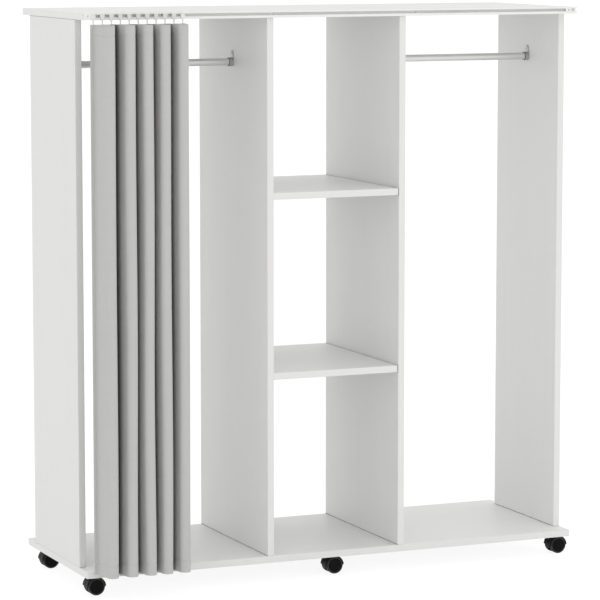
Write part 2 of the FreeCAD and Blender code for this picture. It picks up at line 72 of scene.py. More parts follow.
# Hems and stitches
HEM = 0.028  # turned-up hem at the foot
SIDE_HEM = 0.0085
HEM_FOLD = 0.0009  # extra thickness behind a hem
HEM_EDGE = 0.001  # width over which that thickness ends
STITCH_LENGTH = 0.0028
STITCH_STEP = 0.0036
STITCH_RADIUS = 0.00038
STITCH_RISE = 0.4 * STITCH_RADIUS  # middle of a stitch above the cloth
PUCKER = 0.00045  # how far a stitch line draws the cloth in
PUCKER_WIDTH = 0.0013
STITCH_INSET = 0.0025  # stitches inside the edge of the hem and of the tape
SIDE_INSET = 0.002  # the same at the side hems
HEM_LINE = CLOTH_LOW.z + HEM - STITCH_INSET
SIDE_LINE = SIDE_HEM - SIDE_INSET
HEADING_LINES = (TAPE_HIGH.z - STITCH_INSET, TAPE_LOW.z + STITCH_INSET)

# Grids of the curtain's meshes
PLAN_STEPS = 1200  # steps along each fold of the plan
END_STEPS = 6  # across the cloth, in each flat end
FOLD_STEPS = (4, 5, 9, 9, 5, 4)  # across the cloth, in the arcs and flanks of a fold
HEIGHT_STEPS = (6, 9, 74, 16)  # up the cloth: below the hem's stitches, at them, the drop and the heading
FINE_REACH = 0.004  # the finer steps reach this far past the hem and the tape
TAPE_STEPS = (420, 49)
RING_STEPS = (24, 10)

# Painted shade in the folds
PAINTED_FOLD_SHADE = (0.11, 0.11, 0.108)  # painted shade: the colour painted on the cloth deep in a closed fold, where shade falls
SHADE_RISE = (0.11, 0.42)  # from valley (0) to crest (1), the shade starts to thin out here and ends there
SHADE_GONE = 0.03  # a fold that has moved this far to the right is open and has lost its shade
OPENNESS = "openness"  # attribute of the cloth and mask of the painted fold shade: 0 deep in a fold, 1 in the open
HUNG_AT = "hung_at"  # attribute of the cloth: its x while the curtain is gathered

# The heading tape
TAPE_BODY = 0.0006  # thickness between its ribs
PEG_PROUD = 0.0002  # the glider pegs stand this far out of the front of the tape
CORD_ROWS = (0.2, 0.84)  # drawstrings, as shares of the tape's height
CORD_RADIUS = 0.0007
POCKET_STEP = 0.0067
POCKET_BAND = 0.16  # the pockets reach this share of the tape's height to either side of its middle
POCKET_EDGE = 0.03  # share over which they end
POCKET_RISE = 0.7  # how far they stand out, as a share of the drawstrings
PEG_DROP = 0.004  # pegs below the top of the tape
RING_RADIUS = 0.0021
RING_WIRE = 0.0004

# Colours, each as the two tones that its pattern runs between
BOARD_FACE = ((0.805, 0.805, 0.793), (0.83, 0.83, 0.818))
BOARD_EDGE = ((0.822, 0.822, 0.81), (0.834, 0.834, 0.822))
RAIL_STEEL = ((0.68, 0.68, 0.67), (0.8, 0.8, 0.79))
BRACKET_STEEL = ((0.45, 0.445, 0.44), (0.54, 0.535, 0.53))
ZINC = ((0.5, 0.5, 0.51), (0.66, 0.66, 0.67))
WHITE_PLASTIC = ((0.9, 0.9, 0.89), (0.87, 0.87, 0.86))
HOOD_BLACK = ((0.002, 0.002, 0.002), (0.006, 0.006, 0.006))
WHEEL_BLACK = ((0.003, 0.003, 0.003), (0.008, 0.008, 0.0075))
CLOTH_GREY = ((0.54, 0.54, 0.53), (0.6, 0.6, 0.59))
TAPE_WHITE = ((0.74, 0.74, 0.73), (0.86, 0.86, 0.85))
THREAD_GREY = ((0.5, 0.5, 0.49), (0.58, 0.58, 0.57))
BEECH = ((0.5, 0.33, 0.18), (0.72, 0.55, 0.36))

# Painted shade in dark lines where pieces meet, stronger where a board looks into a bay, and a painted
# highlight in the wheel grooves
PAINTED_JOINT_SHADE = (0.15, 0.147, 0.143)
FOOT_LINE = 0.0014  # at the feet of the panels
FOOT_OUTSIDE = 0.2  # strength of that line on the narrow edges and outer faces
HEAD_LINE = 0.0006  # at the heads of the panels
SHELF_LINE = 0.0022  # at the right ends of the shelves
SOCKET_LENGTH = 0.01
SOCKET_RIM = 0.0005
# painted shade on the rims at the socket mouths, where the rail's end meets the socket
RIM_PAINTED_SHADE = (0.07, 0.068, 0.066)
GROOVE = 0.0006  # depth of the ring groove in a wheel
# painted highlight: a lighter ring in the groove of each wheel, where its edge catches the light
GROOVE_PAINTED_HIGHLIGHT = (0.16, 0.16, 0.155)

# The board grain, in about so many streaks per metre
GRAIN_ACROSS = 150.0
GRAIN_ALONG = 2.6

# The studio
WORLD_LIGHT = 0.915
KEY_PLACE = (0.4, -6.2, 2.8)
KEY_AIM = (0.0, 0.0, 0.65)
KEY_SIZE = 2.6
KEY_POWER = 22.0
FLOOR_COLOUR = (0.95, 0.95, 0.95, 1.0)
FLOOR_WHITE = 0.8  # share of plain white in the floor as the camera sees it
FLOOR_GLOW = 1.12  # strength of that white, so that the lit floor comes out white
FLOOR_REACH = 60.0

# The view of the photograph
CAMERA_PLACE = (-2.7233, -6.2836, 1.4551)
CAMERA_TURN = math.radians(23.301)
CAMERA_DIP = math.radians(7.108)
CAMERA_LENS = 184.3
SENSOR = 36.0


# The plan of the folds

def fold_plan():
    """Middle line of the cloth from above: distance along it, fold count, x, y, and where its parts meet.

    Tight arcs at the tape and wide arcs at the crests are joined by straight flanks that touch both. The
    heading therefore rises evenly to the lean of the flank, holds it, and turns evenly through the crest;
    the place is the running sum of the heading's cosine and sine. A fold count of 0, 1, 2 is a valley.
    """
    half_pitch = (X_LAST - X_FIRST) / FOLDS / 2.0
    between = CLOTH_HIGH.y - CLOTH_LOW.y - CLOTH - VALLEY_RADIUS - CREST_RADIUS
    span = math.hypot(half_pitch, between)
    lean = math.atan2(between, half_pitch) + math.asin((VALLEY_RADIUS + CREST_RADIUS) / span)
    flank = math.sqrt(span ** 2 - (VALLEY_RADIUS + CREST_RADIUS) ** 2)
    marks = np.cumsum([0.0, lean * VALLEY_RADIUS, flank, lean * CREST_RADIUS])
    length = 2.0 * marks[-1]
    marks = np.concatenate([marks, length - marks[-2::-1]])
    s = np.linspace(0.0, FOLDS * length, FOLDS * PLAN_STEPS + 1)
    heading = np.interp(s % length, marks, [0.0, lean, lean, 0.0, -lean, -lean, 0.0])
    step = s[1] - s[0]
    along = np.cumsum((np.cos(heading[1:]) + np.cos(heading[:-1])) / 2.0) * step
    ahead = np.cumsum((np.sin(heading[1:]) + np.sin(heading[:-1])) / 2.0) * step
    tail = X_FIRST - CLOTH_LOW.x
    y_valley = CLOTH_HIGH.y - CLOTH / 2.0
    x = np.concatenate([[X_FIRST - tail, X_FIRST], X_FIRST + along, [X_FIRST + along[-1] + tail]])
    y = np.concatenate([[y_valley, y_valley], y_valley - ahead, [y_valley]])
    distance = np.concatenate([[0.0], s + tail, [s[-1] + 2.0 * tail]])
    joins = np.concatenate([tail + fold * length + marks[:-1] for fold in range(FOLDS)])
    return distance, (distance - tail) / length, x, y, np.concatenate([[0.0], joins, distance[-2:]])


PLAN = fold_plan()
CLOTH_WIDTH = PLAN[0][-1]
CLOTH_DROP = CLOTH_HIGH.z - CLOTH_LOW.z


# Mesh helpers

CREASE = math.radians(50)  # edges of a sheet sharper than this stay sharp


def grid_faces(rows, columns, around=False):
    """Quads between neighbouring points of a grid; around joins the last column to the first."""
    row = np.arange(rows - 1)[:, None]
    column = np.arange(columns if around else columns - 1)[None, :]
    left = row * columns + column
    right = row * columns + (column + 1) % columns
    return np.stack([left, right, right + columns, left + columns], axis=-1).reshape(-1, 4)


def new_piece(name, points, faces, material, uv=None, crease=None):
    """Mesh object from arrays of points and faces, shaded smooth, with sharp edges past the crease angle."""
    mesh = bpy.data.meshes.new(name)
    mesh.from_pydata(points.reshape(-1, 3).tolist(), [], [face for group in faces for face in group.tolist()])
    if uv is not None:
        corners = np.empty(len(mesh.loops), dtype=np.int32)
        mesh.loops.foreach_get("vertex_index", corners)
        layer = mesh.uv_layers.new(name="UVMap")
        layer.data.foreach_set("uv", uv.reshape(-1, 2)[corners].astype(np.float32).ravel())
    mesh.polygons.foreach_set("use_smooth", np.ones(len(mesh.polygons), dtype=bool))
    if crease is not None:
        mesh.set_sharp_from_angle(angle=crease)
    mesh.materials.append(material)
    piece = bpy.data.objects.new(name, mesh)
    bpy.context.scene.collection.objects.link(piece)
    return piece


def shell(front, back):
    """Points and faces of a closed sheet between two grids of the same shape, with a rim all round."""
    rows, columns = front.shape[:2]
    count = rows * columns
    index = np.arange(count).reshape(rows, columns)
    rim = np.concatenate([index[0, :-1], index[:-1, -1], index[-1, :0:-1], index[:0:-1, 0]])
    following = np.roll(rim, -1)
    edge = np.stack([rim, rim + count, following + count, following], axis=-1)
    faces = grid_faces(rows, columns)
    points = np.concatenate([front.reshape(-1, 3), back.reshape(-1, 3)])
    return points, [faces, faces[:, ::-1] + count, edge]


def spindles(centres, along, out, length, radius, sides=6, rings=4):
    """Many small threads: a circle whose radius follows a half sine along its length, closed at both tips."""
    across = np.cross(along, out)
    share = (np.arange(rings) + 0.5) / rings
    turn = np.linspace(0.0, 2.0 * np.pi, sides, endpoint=False)
    width = radius * np.sin(np.pi * share)[None, :, None, None]
    spot = centres[:, None, None, :] + along[:, None, None, :] * ((share - 0.5) * length)[None, :, None, None]
    ring = out[:, None, None, :] * np.cos(turn)[None, None, :, None]
    ring = ring + across[:, None, None, :] * np.sin(turn)[None, None, :, None]
    body = (spot + ring * width).reshape(len(centres), -1, 3)
    tips = centres[:, None, :] + along[:, None, :] * (np.array([-0.5, 0.5]) * length)[None, :, None]
    points = np.concatenate([body, tips], axis=1)
    each = points.shape[1]
    start = (np.arange(len(centres)) * each)[:, None, None]
    quads = (grid_faces(rings, sides, around=True)[None] + start).reshape(-1, 4)
    edge = np.arange(sides)
    turned = (edge + 1) % sides
    last = (rings - 1) * sides
    first_cap = np.stack([turned, edge, np.full(sides, each - 2)], axis=-1)
    last_cap = np.stack([edge + last, turned + last, np.full(sides, each - 1)], axis=-1)
    caps = (np.concatenate([first_cap, last_cap])[None] + start).reshape(-1, 3)
    return points.reshape(-1, 3), [quads, caps]


# Node helpers

def number(socket, value):
    """Plain value on a socket."""
    socket.default_value = value


def group_tree(name, inputs, outputs):
    """Empty shader group with named value, vector or colour sockets, and its two end nodes."""
    tree = bpy.data.node_groups.new(name, "ShaderNodeTree")
    for label, kind, value in inputs:
        socket = tree.interface.new_socket(name=label, in_out="INPUT", socket_type=kind)
        if value is not None:
            socket.default_value = value
    for label in outputs:
        tree.interface.new_socket(name=label, in_out="OUTPUT", socket_type="NodeSocketFloat")
    return tree, tree.nodes.new("NodeGroupInput"), tree.nodes.new("NodeGroupOutput")


def calc(tree, operation, first, second=None):
    """Math node; each operand is a socket or a number."""
    node = tree.nodes.new("ShaderNodeMath")
    node.operation = operation
    for slot, value in enumerate((first, second)):
        if isinstance(value, bpy.types.NodeSocket):
            tree.links.new(value, node.inputs[slot])
        elif value is not None:
            node.inputs[slot].default_value = value
    return node.outputs[0]


def remap(tree, value, low, high, to_low, to_high):
    """Map Range node, clamped."""
    node = tree.nodes.new("ShaderNodeMapRange")
    tree.links.new(value, node.inputs["Value"])
    number(node.inputs["From Min"], low)
    number(node.inputs["From Max"], high)
    number(node.inputs["To Min"], to_low)
    number(node.inputs["To Max"], to_high)
    return node.outputs["Result"]


def noise(tree, vector, scale, detail=2.0, roughness=0.5, distortion=0.0):
    """Noise texture; its scale is a socket or a number."""
    node = tree.nodes.new("ShaderNodeTexNoise")
    tree.links.new(vector, node.inputs["Vector"])
    if isinstance(scale, bpy.types.NodeSocket):
        tree.links.new(scale, node.inputs["Scale"])
    else:
        number(node.inputs["Scale"], scale)
    number(node.inputs["Detail"], detail)
    number(node.inputs["Roughness"], roughness)
    number(node.inputs["Distortion"], distortion)
    return node.outputs["Fac"]


def stretched(tree, vector, scale):
    """Vector with each axis scaled, so that a pattern runs along one of them."""
    node = tree.nodes.new("ShaderNodeMapping")
    tree.links.new(vector, node.inputs["Vector"])
    number(node.inputs["Scale"], scale)
    return node.outputs["Vector"]


def coordinates(tree, kind):
    """Object or UV coordinates."""
    return tree.nodes.new("ShaderNodeTexCoord").outputs[kind]


def axis_parts(tree, vector):
    """The vector's X, Y and Z sockets."""
    node = tree.nodes.new("ShaderNodeSeparateXYZ")
    tree.links.new(vector, node.inputs["Vector"])
    return node.outputs


def place_group(tree, group, **inputs):
    """Group node with its inputs linked or set."""
    node = tree.nodes.new("ShaderNodeGroup")
    node.node_tree = group
    for label, value in inputs.items():
        if isinstance(value, bpy.types.NodeSocket):
            tree.links.new(value, node.inputs[label])
        else:
            number(node.inputs[label], value)
    return node


def tint(tree, share, dark, light):
    """Colour between two colours by a share from 0 to 1."""
    node = tree.nodes.new("ShaderNodeMix")
    node.data_type = "RGBA"
    tree.links.new(share, node.inputs["Factor"])
    for socket, colour in ((node.inputs[6], dark), (node.inputs[7], light)):
        if isinstance(colour, bpy.types.NodeSocket):
            tree.links.new(colour, socket)
        else:
            number(socket, (*colour, 1.0))
    return node.outputs[2]


def bump(tree, shader, height, strength, distance):
    """Bump node from a height to the shader's normal."""
    node = tree.nodes.new("ShaderNodeBump")
    number(node.inputs["Strength"], strength)
    number(node.inputs["Distance"], distance)
    tree.links.new(height, node.inputs["Height"])
    tree.links.new(node.outputs["Normal"], shader.inputs["Normal"])


def new_material(name):
    """Material with one Principled shader; returns it with its tree and shader."""
    material = bpy.data.materials.new(name)
    material.use_nodes = True
    tree = material.node_tree
    tree.nodes.clear()
    output = tree.nodes.new("ShaderNodeOutputMaterial")
    shader = tree.nodes.new("ShaderNodeBsdfPrincipled")
    tree.links.new(shader.outputs["BSDF"], output.inputs["Surface"])
    return material, tree, shader


# Shared effects

def grain_effect():
    """Wood grain: broad streaks with fine pores, along whichever axis the vector is drawn out."""
    tree, start, end = group_tree("Board grain", [("Vector", "NodeSocketVector", None)], ["Tone", "Height"])
    broad = noise(tree, start.outputs["Vector"], 1.0, 4.0, 0.55, 0.5)
    fine = noise(tree, start.outputs["Vector"], 6.0, 2.0, 0.5)
    pores = remap(tree, fine, 0.56, 0.72, 0.0, 1.0)
    tone = calc(tree, "ADD", calc(tree, "MULTIPLY", broad, 0.7), calc(tree, "MULTIPLY", fine, 0.3))
    height = calc(tree, "SUBTRACT", calc(tree, "MULTIPLY", broad, 0.4), calc(tree, "MULTIPLY", pores, 0.6))
    tree.links.new(tone, end.inputs["Tone"])
    tree.links.new(height, end.inputs["Height"])
    return tree


def smudge_effect():
    """Faint handling marks: soft clouds that change the gloss."""
    inputs = [("Vector", "NodeSocketVector", None), ("Scale", "NodeSocketFloat", 6.0)]
    tree, start, end = group_tree("Handling marks", inputs, ["Mask"])
    cloud = noise(tree, start.outputs["Vector"], start.outputs["Scale"], 3.0, 0.6, 0.8)
    tree.links.new(remap(tree, cloud, 0.42, 0.72, 0.0, 1.0), end.inputs["Mask"])
    return tree


def weave_effect():
    """Plain weave: warp and weft ribs swap over and under like a chequer, with thicker and thinner yarns."""
    inputs = [("Vector", "NodeSocketVector", None), ("Threads", "NodeSocketFloat", 1600.0)]
    tree, start, end = group_tree("Plain weave", inputs, ["Tone", "Height"])
    flat = axis_parts(tree, start.outputs["Vector"])
    warp = calc(tree, "MULTIPLY", flat["X"], start.outputs["Threads"])
    weft = calc(tree, "MULTIPLY", flat["Y"], start.outputs["Threads"])
    steps = calc(tree, "ADD", calc(tree, "FLOOR", warp), calc(tree, "FLOOR", weft))
    over = calc(tree, "ABSOLUTE", calc(tree, "MODULO", steps, 2.0))
    warp_rib = calc(tree, "ABSOLUTE", calc(tree, "SINE", calc(tree, "MULTIPLY", warp, math.pi)))
    weft_rib = calc(tree, "ABSOLUTE", calc(tree, "SINE", calc(tree, "MULTIPLY", weft, math.pi)))
    under = calc(tree, "SUBTRACT", 1.0, over)
    warp_rise = calc(tree, "MULTIPLY", warp_rib, over)
    weft_rise = calc(tree, "MULTIPLY", weft_rib, under)
    height = calc(tree, "ADD", warp_rise, weft_rise)
    upright_yarn = noise(tree, stretched(tree, start.outputs["Vector"], (900.0, 7.0, 1.0)), 1.0, 2.0)
    level_yarn = noise(tree, stretched(tree, start.outputs["Vector"], (7.0, 900.0, 1.0)), 1.0, 2.0)
    yarn = calc(tree, "MULTIPLY", calc(tree, "ADD", upright_yarn, level_yarn), 0.5)
    tone = calc(tree, "ADD", calc(tree, "MULTIPLY", yarn, 0.75), calc(tree, "MULTIPLY", height, 0.25))
    tree.links.new(tone, end.inputs["Tone"])
    tree.links.new(height, end.inputs["Height"])
    return tree


def moulded_effect():
    """Fine pebbled skin of moulded plastic."""
    inputs = [("Vector", "NodeSocketVector", None), ("Scale", "NodeSocketFloat", 1500.0)]
    tree, start, end = group_tree("Moulded skin", inputs, ["Tone", "Height"])
    pebble = noise(tree, start.outputs["Vector"], start.outputs["Scale"], 2.0, 0.5)
    tree.links.new(pebble, end.inputs["Tone"])
    tree.links.new(remap(tree, pebble, 0.35, 0.65, 0.0, 1.0), end.inputs["Height"])
    return tree


def brushed_effect():
    """Fine lines of drawn or brushed metal, along whichever axis the vector is drawn out."""
    tree, start, end = group_tree("Drawn lines", [("Vector", "NodeSocketVector", None)], ["Tone", "Height"])
    lines = noise(tree, start.outputs["Vector"], 1.0, 3.0, 0.65)
    tree.links.new(lines, end.inputs["Tone"])
    tree.links.new(lines, end.inputs["Height"])
    return tree


def joint_effect():
    """Dark line of painted shade within a width of a joint, a little uneven along it."""
    inputs = [
        ("Vector", "NodeSocketVector", None),
        ("Distance", "NodeSocketFloat", 1.0),
        ("Width", "NodeSocketFloat", 0.001),
    ]
    tree, start, end = group_tree("Joint line", inputs, ["Mask"])
    uneven = remap(tree, noise(tree, start.outputs["Vector"], 60.0), 0.3, 0.7, 0.8, 1.2)
    width = calc(tree, "MULTIPLY", start.outputs["Width"], uneven)
    share = calc(tree, "DIVIDE", start.outputs["Distance"], width)
    tree.links.new(remap(tree, share, 0.7, 1.2, 1.0, 0.0), end.inputs["Mask"])
    return tree


GRAIN = grain_effect()
SMUDGE = smudge_effect()
WEAVE = weave_effect()
MOULDED = moulded_effect()
BRUSHED = brushed_effect()
JOINT = joint_effect()


# Finishes

def painted_joint_lines(tree, place, colour, joints, inner):
    """Colour with a dark line of painted shade at each joint.

    A joint is its axis, its place on that axis, the way into the board (1 or -1), the width of the line and
    its strength where the board doesn't look into a bay.
    """
    for axis, start, way, width, outside in joints:
        into = calc(tree, "MULTIPLY", calc(tree, "SUBTRACT", axis_parts(tree, place)[axis], start), way)
        line = place_group(tree, JOINT, Vector=place, Distance=into, Width=width)
        strength = remap(tree, inner, 0.0, 1.0, outside, 1.0)
        # painted shade: a dark line along the joint, fainter on outer faces and edges
        colour = tint(tree, calc(tree, "MULTIPLY", line.outputs["Mask"], strength), colour, PAINTED_JOINT_SHADE)
    return colour


def board_sides(tree, upright, inward):
    """Masks of a board's narrow edges and of the faces that look into a bay.

    Inward is the way along X (1 or -1) in which a side panel looks into its bay. A divider has bays on both
    sides, and no such way.
    """
    facing = axis_parts(tree, tree.nodes.new("ShaderNodeNewGeometry").outputs["Normal"])
    if not upright:
        edge = calc(tree, "LESS_THAN", calc(tree, "ABSOLUTE", facing["Z"]), 0.2)
        return edge, calc(tree, "SUBTRACT", 1.0, edge)
    edge = calc(tree, "GREATER_THAN", calc(tree, "ABSOLUTE", facing["Y"]), 0.8)
    if inward is None:
        toward = calc(tree, "ABSOLUTE", facing["X"])
    else:
        toward = calc(tree, "MULTIPLY", facing["X"], inward)
    return edge, calc(tree, "GREATER_THAN", toward, 0.5)


def board_finish(name, upright, joints=(), inward=None):
    """White melamine with pressed wood grain, a smoother band on the narrow edges and painted shade in dark
    lines at the joints.
    """
    material, tree, shader = new_material(name)
    place = coordinates(tree, "Object")
    stretch = [GRAIN_ACROSS, GRAIN_ACROSS, GRAIN_ACROSS]
    stretch[2 if upright else 0] = GRAIN_ALONG
    grain = place_group(tree, GRAIN, Vector=stretched(tree, place, stretch))
    marks = place_group(tree, SMUDGE, Vector=place, Scale=5.0)
    edge, inner = board_sides(tree, upright, inward)
    streaks = remap(tree, grain.outputs["Tone"], 0.3, 0.7, 0.0, 1.0)
    face = tint(tree, streaks, *BOARD_FACE)
    band = tint(tree, streaks, *BOARD_EDGE)
    colour = painted_joint_lines(tree, place, tint(tree, edge, face, band), joints, inner)
    tree.links.new(colour, shader.inputs["Base Color"])
    pressed = remap(tree, grain.outputs["Height"], -0.5, 0.4, 0.56, 0.42)
    handled = calc(tree, "SUBTRACT", pressed, calc(tree, "MULTIPLY", marks.outputs["Mask"], 0.05))
    rough = calc(tree, "SUBTRACT", handled, calc(tree, "MULTIPLY", edge, 0.08))
    tree.links.new(rough, shader.inputs["Roughness"])
    bump(tree, shader, grain.outputs["Height"], 0.25, 0.0004)
    return material


def metal_finish(name, tones, rough, lines, mouths=None):
    """Bare metal with fine lines or specks and faint handling marks.

    Lines is how many cross a metre along X, Y and Z: few along a drawn tube, and equal on a plated piece.
    Mouths is the middle between two sockets that face each other, and the reach to their rims of painted
    shade.
    """
    material, tree, shader = new_material(name)
    place = coordinates(tree, "Object")
    drawn = place_group(tree, BRUSHED, Vector=stretched(tree, place, lines))
    marks = place_group(tree, SMUDGE, Vector=place, Scale=45.0)
    colour = tint(tree, drawn.outputs["Tone"], *tones)
    if mouths is not None:
        centre, reach = mouths
        away = calc(tree, "ABSOLUTE", calc(tree, "SUBTRACT", axis_parts(tree, place)["X"], centre))
        # painted shade: the socket rims darkened
        colour = tint(tree, calc(tree, "LESS_THAN", away, reach), colour, RIM_PAINTED_SHADE)
    tree.links.new(colour, shader.inputs["Base Color"])
    lined = remap(tree, drawn.outputs["Tone"], 0.3, 0.7, rough - 0.05, rough + 0.05)
    handled = calc(tree, "ADD", lined, calc(tree, "MULTIPLY", marks.outputs["Mask"], 0.08))
    tree.links.new(handled, shader.inputs["Roughness"])
    number(shader.inputs["Metallic"], 1.0)
    bump(tree, shader, drawn.outputs["Height"], 0.08, 0.0001)
    return material


def plastic_finish(name, tones, rough, skin, marks_scale, gloss_level=0.5, groove=None):
    """Moulded plastic with a fine skin, gloss that varies by handling marks, and a painted highlight in a
    groove.

    Skin and marks_scale are in spots per metre, and groove is the y of the groove's floor.
    """
    material, tree, shader = new_material(name)
    place = coordinates(tree, "Object")
    pebble = place_group(tree, MOULDED, Vector=place, Scale=skin)
    marks = place_group(tree, SMUDGE, Vector=place, Scale=marks_scale)
    colour = tint(tree, marks.outputs["Mask"], *tones)
    if groove is not None:
        away = calc(tree, "ABSOLUTE", calc(tree, "SUBTRACT", axis_parts(tree, place)["Y"], groove))
        # painted highlight: a lighter ring along the groove
        colour = tint(tree, calc(tree, "LESS_THAN", away, GROOVE / 3.0), colour, GROOVE_PAINTED_HIGHLIGHT)
    tree.links.new(colour, shader.inputs["Base Color"])
    pebbled = remap(tree, pebble.outputs["Tone"], 0.3, 0.7, rough - 0.04, rough + 0.04)
    handled = calc(tree, "ADD", pebbled, calc(tree, "MULTIPLY", marks.outputs["Mask"], 0.07))
    tree.links.new(handled, shader.inputs["Roughness"])
    number(shader.inputs["Specular IOR Level"], gloss_level)
    bump(tree, shader, pebble.outputs["Height"], 0.12, 0.00012)
    return material


def painted_fold_light(tree):
    """How open the cloth lies, which thins out the painted fold shade: by its place in the fold, and wholly
    open where it has been drawn out.
    """
    openness, hung_at = [tree.nodes.new("ShaderNodeAttribute") for _ in range(2)]
    openness.attribute_name = OPENNESS
    hung_at.attribute_name = HUNG_AT
    x_now = axis_parts(tree, coordinates(tree, "Object"))["X"]
    moved = calc(tree, "SUBTRACT", x_now, hung_at.outputs["Fac"])
    drawn_out = remap(tree, moved, 0.0, SHADE_GONE, 0.0, 1.0)
    return calc(tree, "MAXIMUM", openness.outputs["Fac"], drawn_out)


def cloth_finish(name, tones, threads, sheen, deep=None):
    """Woven cloth on the piece's own map, with threads per metre; deep is the colour of the painted shade
    inside the folds.
    """
    material, tree, shader = new_material(name)
    flat = coordinates(tree, "UV")
    woven = place_group(tree, WEAVE, Vector=flat, Threads=threads)
    cloud = place_group(tree, SMUDGE, Vector=flat, Scale=9.0)
    yarns = remap(tree, woven.outputs["Tone"], 0.3, 0.7, 0.0, 1.0)
    clouded = calc(tree, "SUBTRACT", yarns, calc(tree, "MULTIPLY", cloud.outputs["Mask"], 0.12))
    colour = tint(tree, clouded, *tones)
    if deep is not None:
        # painted shade: the cloth darkened deep in its closed folds
        colour = tint(tree, painted_fold_light(tree), deep, colour)
    tree.links.new(colour, shader.inputs["Base Color"])
    tree.links.new(remap(tree, woven.outputs["Height"], 0.0, 1.0, 0.95, 0.82), shader.inputs["Roughness"])
    number(shader.inputs["Sheen Weight"], sheen)
    number(shader.inputs["Sheen Roughness"], 0.5)
    number(shader.inputs["Specular IOR Level"], 0.2)
    bump(tree, shader, woven.outputs["Height"], 0.3, 0.0003)
    return material


def beech_finish():
    """Plain beech of the dowels."""
    material, tree, shader = new_material("beech")
    place = coordinates(tree, "Object")
    grain = place_group(tree, GRAIN, Vector=stretched(tree, place, (600.0, 600.0, 30.0)))
    tree.links.new(tint(tree, grain.outputs["Tone"], *BEECH), shader.inputs["Base Color"])
    tree.links.new(remap(tree, grain.outputs["Tone"], 0.3, 0.7, 0.6, 0.75), shader.inputs["Roughness"])
    bump(tree, shader, grain.outputs["Height"], 0.2, 0.0002)
    return material


def bracket_finish(bay):
    """Brackets of one rail, with painted shade on the rims at the mouths of both sockets."""
    low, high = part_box(f"rail_brackets_{bay}")
    mouths = ((low.x + high.x) / 2.0, (high.x - low.x) / 2.0 - SOCKET_LENGTH + SOCKET_RIM)
    lines = (900.0, 900.0, 900.0)
    return metal_finish(f"bracket_{bay}", BRACKET_STEEL, rough=0.4, lines=lines, mouths=mouths)


def wheel_finish(row, side):
    """Wheels on one side of a row of casters, whose grooves are all at the same y."""
    low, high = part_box(f"wheel_{row}_middle_{side}")
    groove = low.y + GROOVE if side == "near" else high.y - GROOVE
    return plastic_finish(f"wheel_{row}_{side}", WHEEL_BLACK, rough=0.36, skin=1700.0, marks_scale=70.0,
                          gloss_level=0.08, groove=groove)


PANEL_LOW, PANEL_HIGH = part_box("divider_left")
PANEL_FOOT = ("Z", PANEL_LOW.z, 1.0, FOOT_LINE, FOOT_OUTSIDE)
PANEL_HEAD = ("Z", PANEL_HIGH.z, -1.0, HEAD_LINE, 1.0)
PANEL_JOINTS = (PANEL_FOOT, PANEL_HEAD)
SHELF_JOINTS = (("X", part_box("shelf_lower")[1].x, -1.0, SHELF_LINE, 1.0),)

FINISH = {
    "upright_board": board_finish("upright_board", True, PANEL_JOINTS),
    "side_panel_left": board_finish("side_panel_left", True, PANEL_JOINTS, inward=1.0),
    "side_panel_right": board_finish("side_panel_right", True, PANEL_JOINTS, inward=-1.0),
    "level_board": board_finish("level_board", False),
    "shelf_board": board_finish("shelf_board", False, SHELF_JOINTS),
    "rail": metal_finish("rail", RAIL_STEEL, rough=0.46, lines=(8.0, 1800.0, 1800.0)),
    "zinc": metal_finish("zinc", ZINC, rough=0.34, lines=(700.0, 700.0, 700.0)),
    "white_plastic": plastic_finish("white_plastic", WHITE_PLASTIC, rough=0.36, skin=1800.0,
                                    marks_scale=20.0),
    "hood_plastic": plastic_finish("hood_plastic", HOOD_BLACK, rough=0.32, skin=1400.0, marks_scale=60.0,
                                   gloss_level=0.07),
    "grey_cloth": cloth_finish("grey_cloth", CLOTH_GREY, threads=1500.0, sheen=0.25, deep=PAINTED_FOLD_SHADE),
    "tape_cloth": cloth_finish("tape_cloth", TAPE_WHITE, threads=1900.0, sheen=0.1),
    "grey_thread": plastic_finish("grey_thread", THREAD_GREY, rough=0.7, skin=5000.0, marks_scale=300.0),
    "beech": beech_finish(),
}
for bay in ("left", "right"):
    FINISH[f"rail_brackets_{bay}"] = bracket_finish(bay)
for row in ("front", "rear"):
    for side in ("near", "far"):
        FINISH[f"wheel_{row}_{side}"] = wheel_finish(row, side)

BOARD_FINISH = {
    "top_board": "level_board",
    "base_board": "level_board",
    "shelf_lower": "shelf_board",
    "shelf_upper": "shelf_board",
}
SLOT_FINISH = {
    "white_board": "upright_board",
    "rail_metal": "rail",
    "white_plastic": "white_plastic",
    "dowel_wood": "beech",
    "zinc_steel": "zinc",
    "black_plastic": "hood_plastic",
    "curtain_cloth": "grey_cloth",
    "tape_cloth": "tape_cloth",
}


def finish_of(name, slot):
    """Name of a node's finish: a wheel's by row and side, a bracket's or board's own, or else its slot's."""
    if name.startswith("wheel_"):
        _, row, _, side = name.split("_")
        return f"wheel_{row}_{side}"
    if name in FINISH:
        return name
    return BOARD_FINISH.get(name, SLOT_FINISH.get(slot))


def dress_frame():
    """Each carried-over piece gets its finish."""
    slots = {part["node"]: part["material_slot"] for part in frame["record"]["subparts"]}
    for name, piece in NODES.items():
        piece.data.materials.clear()
        piece.data.materials.append(FINISH[finish_of(name, slots[name])])


# The curtain

